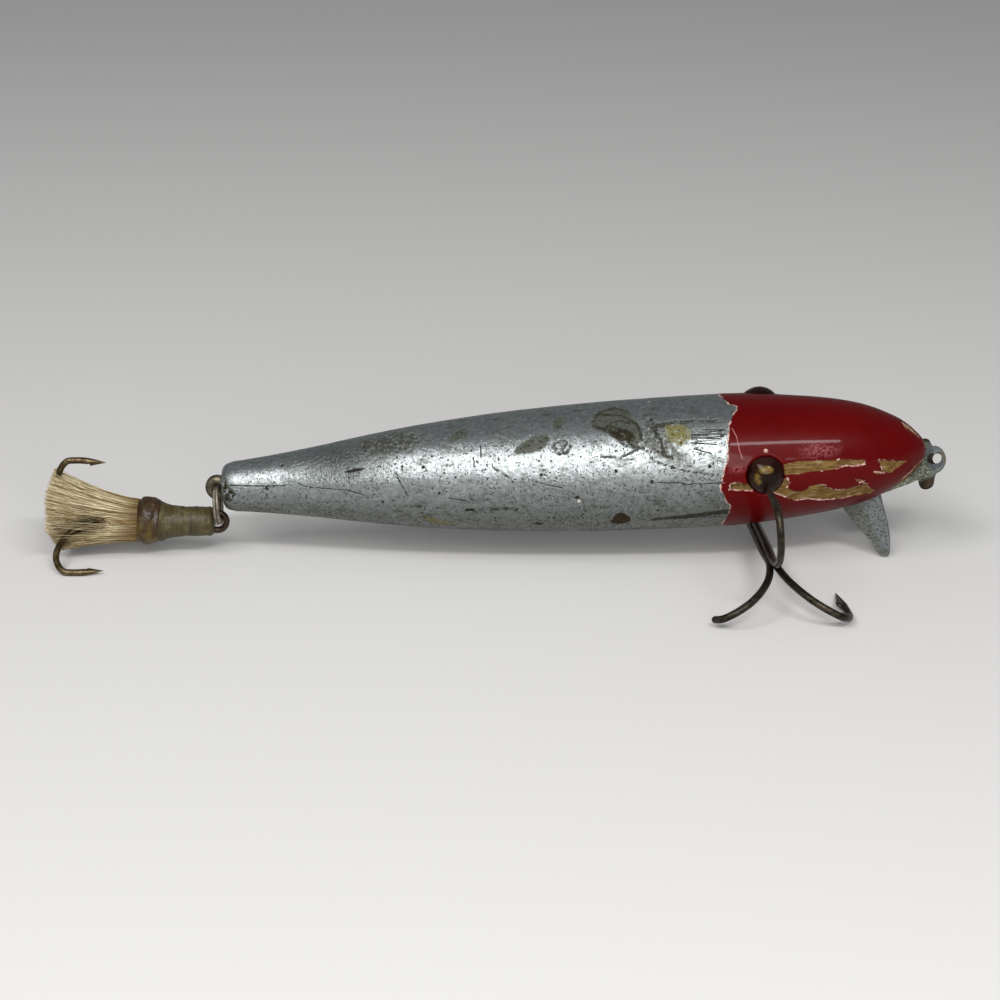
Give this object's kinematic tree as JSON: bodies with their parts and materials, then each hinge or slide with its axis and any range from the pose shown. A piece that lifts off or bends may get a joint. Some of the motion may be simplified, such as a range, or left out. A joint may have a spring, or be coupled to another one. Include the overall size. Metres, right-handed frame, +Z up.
{
  "type": "fishing lure",
  "caption": "Old wooden minnow lure with a silver body, red head, glass eyes, bent metal lip, belly treble hook and hair-dressed tail treble hook, lying loose.",
  "frame": {"origin": "on the table, under the middle of the lure's bounding box as it lies", "axes": "+X from the tail to the nose, +Y away from the side that is seen, +Z up"},
  "size_m": [0.1768, 0.0582, 0.0335],
  "materials": {
    "painted_wood": "silver and red paint, worn through to the wood",
    "eye_glass": "glossy dark amber",
    "lip_metal": "dull grey green tarnish",
    "dark_steel": "tarnished",
    "blackened_steel": "blackened",
    "waxed_thread": "varnished windings",
    "lacquer": "glossy dark brown lacquer",
    "hair": "matt cream hair"
  },
  "bodies": {
    "root": {"wooden_body": "painted_wood", "right_glass_eye": "eye_glass", "left_glass_eye": "eye_glass", "metal_lip": "lip_metal", "belly_screw_eye": "dark_steel", "tail_screw_eye": "dark_steel", "belly_treble_hook": "blackened_steel", "tail_split_ring": "dark_steel", "tail_treble_hook": "dark_steel", "thread_wrapping": "waxed_thread", "lacquered_head": "lacquer", "hair_skirt": "hair"}
  },
  "joints": []
}
